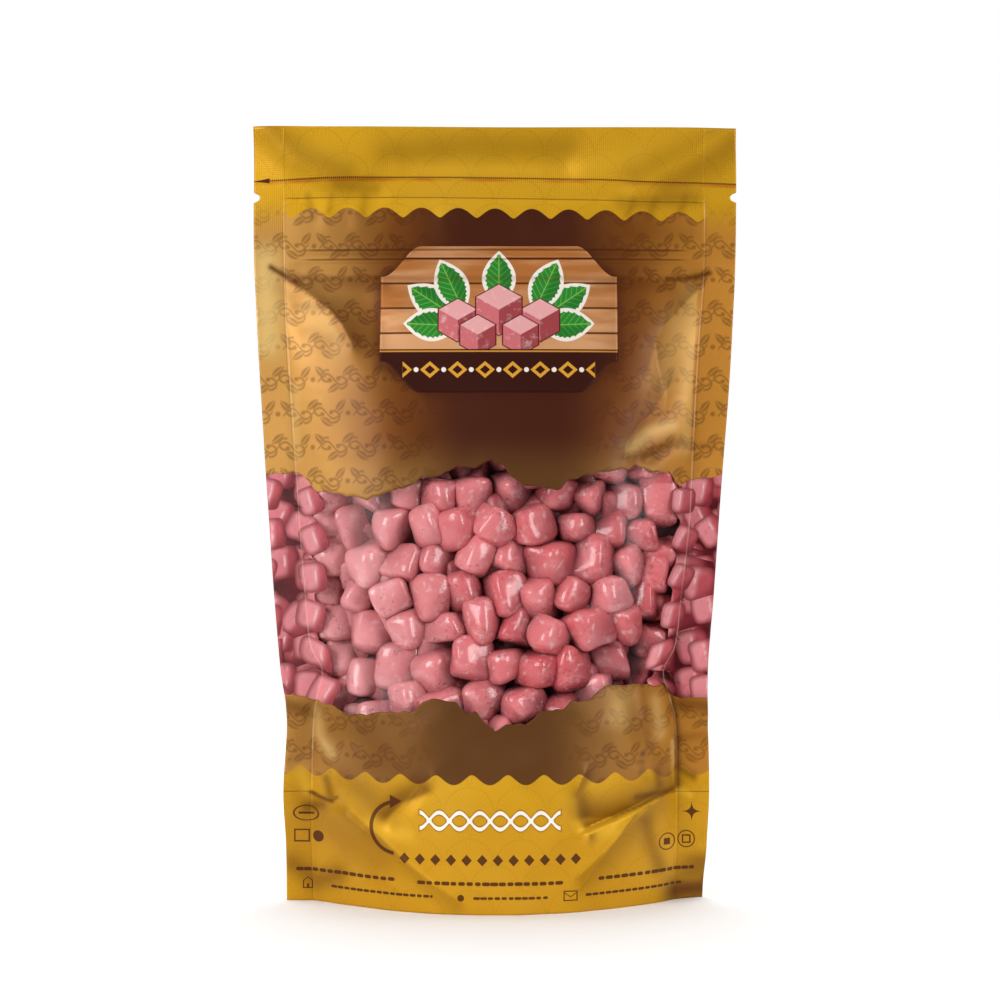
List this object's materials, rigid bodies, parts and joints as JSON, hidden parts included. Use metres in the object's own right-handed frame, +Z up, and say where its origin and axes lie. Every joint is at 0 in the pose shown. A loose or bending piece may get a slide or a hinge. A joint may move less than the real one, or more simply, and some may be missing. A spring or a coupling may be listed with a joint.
{
  "type": "stand-up zip pouch of small sweets",
  "caption": "Filled stand-up zip pouch with a flat header, side seals and an opened bottom gusset, and a clear front band that shows a heap of small pink cube sweets.",
  "frame": {"origin": "middle of the base, on the surface the pouch stands on", "axes": "+Z up the pouch, +X to the right seen from the front, and the printed front with the clear band faces -Y"},
  "size_m": [0.16, 0.0574, 0.256],
  "materials": {
    "printed_film": "satin printed laminate",
    "clear_film": "clear glossy film",
    "sweet": "soft, slightly waxy pink sweet"
  },
  "bodies": {
    "root": {"pouch": "printed_film", "sweets": "sweet"}
  },
  "joints": []
}
